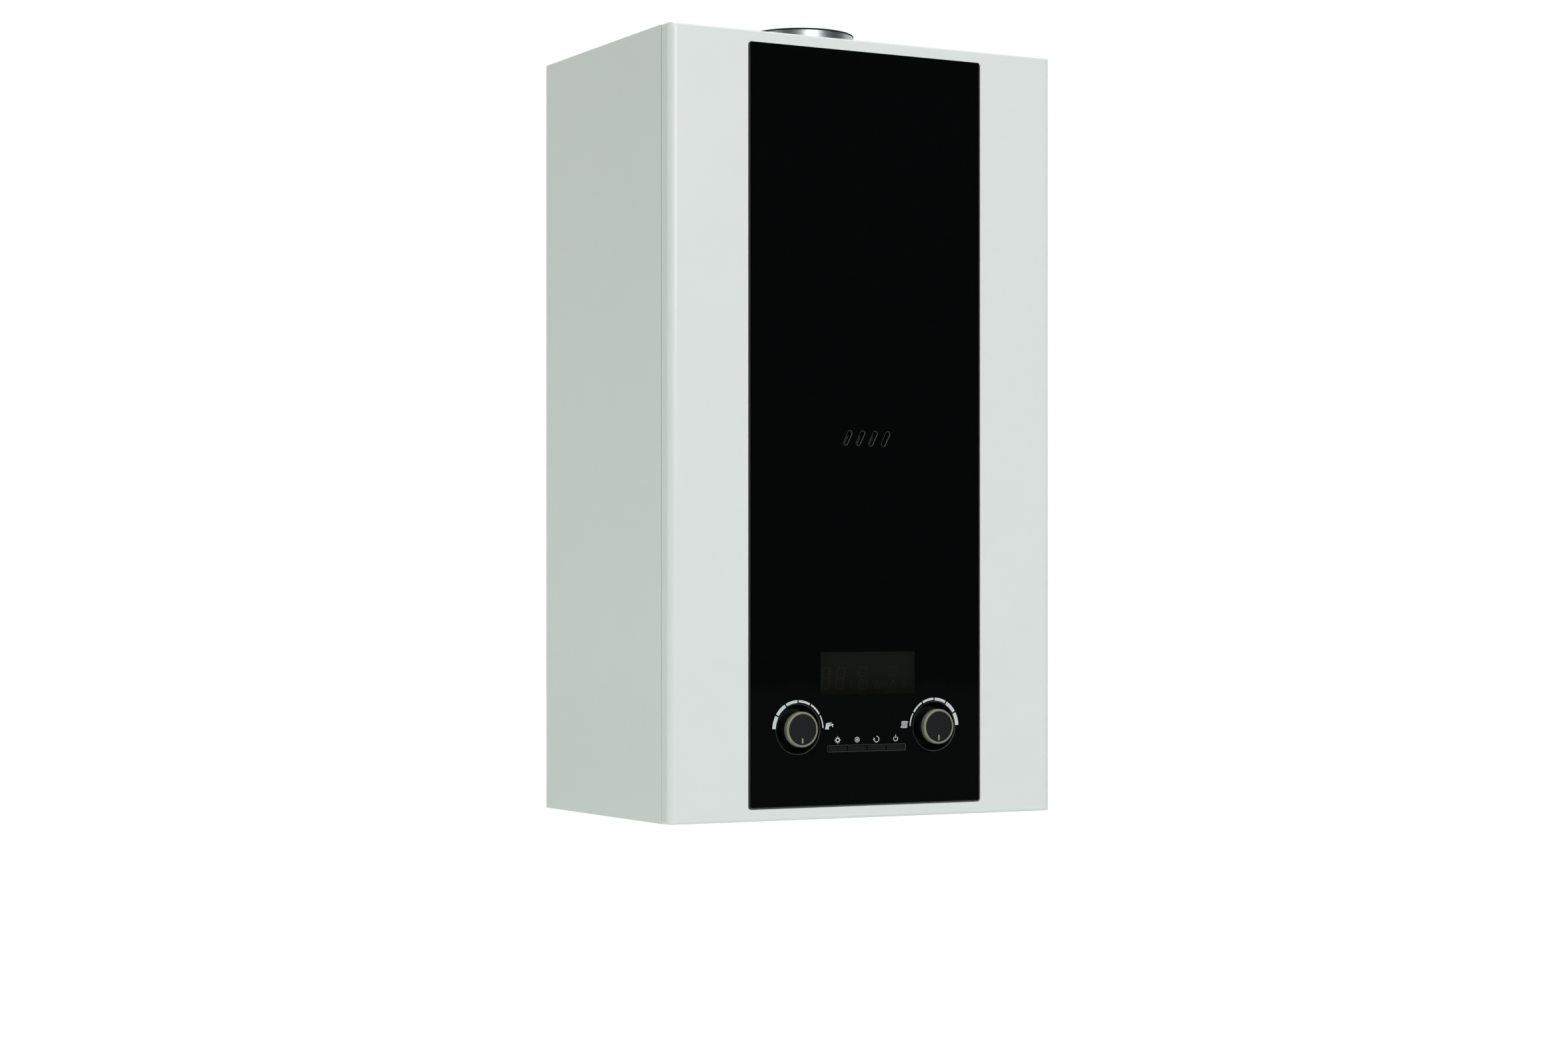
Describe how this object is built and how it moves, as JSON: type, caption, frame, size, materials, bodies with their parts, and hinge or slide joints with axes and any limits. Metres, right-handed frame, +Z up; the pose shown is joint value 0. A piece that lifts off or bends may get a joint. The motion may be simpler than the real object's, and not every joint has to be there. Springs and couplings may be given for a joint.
{
  "type": "wall-hung gas boiler",
  "caption": "Wall-hung gas boiler with a removable cover, a black glass front, rotary dials, push buttons, a display window and a concentric flue outlet on top.",
  "frame": {"origin": "on the wall plane, on the boiler's centre line, midway between the two hanging slots", "axes": "+X to the right seen from the front, +Y into the wall, +Z up"},
  "size_m": [0.4, 0.2732, 0.7298],
  "materials": {
    "white_enamel": "smooth baked white enamel with a soft sheen",
    "black_glass": "tempered glass, black printed on the back, high gloss",
    "galvanised": "zinc-coated sheet, satin with a faint spangle",
    "sheet_steel": "bright rolled steel sheet",
    "black_plastic": "moulded black plastic, fine satin",
    "grey_plastic": "moulded dark grey plastic",
    "champagne_metal": "champagne coloured anodised ring, satin",
    "display_window": "dark olive display window, unlit",
    "circuit_board": "green lacquered board",
    "clear_glass": "clear heat-proof glass",
    "copper": "drawn copper",
    "brass": "hot-pressed brass, bright where machined",
    "cast_aluminium": "die-cast aluminium, fine grain",
    "ceramic_fibre": "pressed ceramic fibre board",
    "ceramic_white": "unglazed white ceramic",
    "rubber": "black sealing rubber",
    "red_enamel": "red baked enamel",
    "red_plastic": "moulded red plastic",
    "blue_plastic": "moulded blue plastic",
    "motor_black": "black moulded housing",
    "pump_grey": "dark grey cast housing"
  },
  "bodies": {
    "casing": {"back_frame": "galvanised", "side_panel_left": "white_enamel", "side_panel_right": "white_enamel", "roof_panel": "white_enamel", "bottom_plate": "galvanised", "air_chamber_floor": "galvanised", "air_chamber_lid": "galvanised", "sight_glass": "clear_glass", "flue_collar": "galvanised", "flue_seal": "rubber", "flue_spigot": "cast_aluminium", "control_box": "grey_plastic", "control_fascia": "black_plastic", "display_module": "display_window", "control_board": "circuit_board", "combustion_chamber": "sheet_steel", "chamber_insulation": "ceramic_fibre", "chamber_bracket_left": "galvanised", "chamber_bracket_right": "galvanised", "heat_exchanger": "copper", "flue_hood": "sheet_steel", "fan_volute": "cast_aluminium", "fan_motor": "motor_black", "burner": "sheet_steel", "gas_manifold": "cast_aluminium", "ignition_electrode": "ceramic_white", "air_pressure_switch": "grey_plastic", "pressure_tube": "rubber", "expansion_vessel": "red_enamel", "diverter_valve": "brass", "diverter_actuator": "motor_black", "pump_body": "brass", "pump_motor": "pump_grey", "plate_heat_exchanger": "sheet_steel", "gas_valve": "cast_aluminium", "flow_pipe": "copper", "return_pipe": "copper", "gas_pipe": "copper", "cable_gland": "black_plastic", "union_heating_flow": "brass", "union_hot_water": "brass", "union_gas": "brass", "union_cold_water": "brass", "union_heating_return": "brass"},
    "cover": {"front_cover": "white_enamel", "glass_panel": "black_glass"},
    "hot_water_dial": {"selector_shaft_hot_water": "grey_plastic", "knob_hot_water": "black_plastic", "knob_ring_hot_water": "champagne_metal"},
    "heating_dial": {"selector_shaft_heating": "grey_plastic", "knob_heating": "black_plastic", "knob_ring_heating": "champagne_metal"},
    "summer_key": {"button_summer": "black_plastic"},
    "winter_key": {"button_winter": "black_plastic"},
    "reset_key": {"button_reset": "black_plastic"},
    "power_key": {"button_power": "black_plastic"},
    "fan_wheel": {"fan_impeller": "sheet_steel"},
    "safety_valve_handle": {"safety_valve_cap": "red_plastic"},
    "filling_tap_handle": {"filling_knob": "blue_plastic"}
  },
  "joints": [
    {"name": "cover_off", "type": "slide", "parent": "casing", "child": "cover", "axis": [0, -1, 0], "range_m": [0, 0.3]},
    {"name": "hot_water_turn", "type": "hinge", "parent": "casing", "child": "hot_water_dial", "pos_m": [-0.0714, -0.264, -0.5781], "axis": [0, -1, 0], "range_deg": [0, 270]},
    {"name": "heating_turn", "type": "hinge", "parent": "casing", "child": "heating_dial", "pos_m": [0.0714, -0.264, -0.5781], "axis": [0, 1, 0], "range_deg": [0, 270]},
    {"name": "summer_press", "type": "slide", "parent": "casing", "child": "summer_key", "axis": [0, 1, 0], "range_m": [0, 0.0008], "stiffness_N_per_m": 1500},
    {"name": "winter_press", "type": "slide", "parent": "casing", "child": "winter_key", "axis": [0, 1, 0], "range_m": [0, 0.0008], "stiffness_N_per_m": 1500},
    {"name": "reset_press", "type": "slide", "parent": "casing", "child": "reset_key", "axis": [0, 1, 0], "range_m": [0, 0.0008], "stiffness_N_per_m": 1500},
    {"name": "power_press", "type": "slide", "parent": "casing", "child": "power_key", "axis": [0, 1, 0], "range_m": [0, 0.0008], "stiffness_N_per_m": 1500},
    {"name": "fan_spin", "type": "hinge", "parent": "casing", "child": "fan_wheel", "pos_m": [-0.038, -0.1453, -0.02], "axis": [0, 1, 0], "continuous": true},
    {"name": "safety_valve_turn", "type": "hinge", "parent": "casing", "child": "safety_valve_handle", "pos_m": [0.06, -0.1293, -0.598], "axis": [0, -1, 0], "range_deg": [0, 90]},
    {"name": "filling_tap_turn", "type": "hinge", "parent": "casing", "child": "filling_tap_handle", "pos_m": [0.0975, -0.075, -0.646], "axis": [0, 0, -1], "range_deg": [0, 360]}
  ]
}
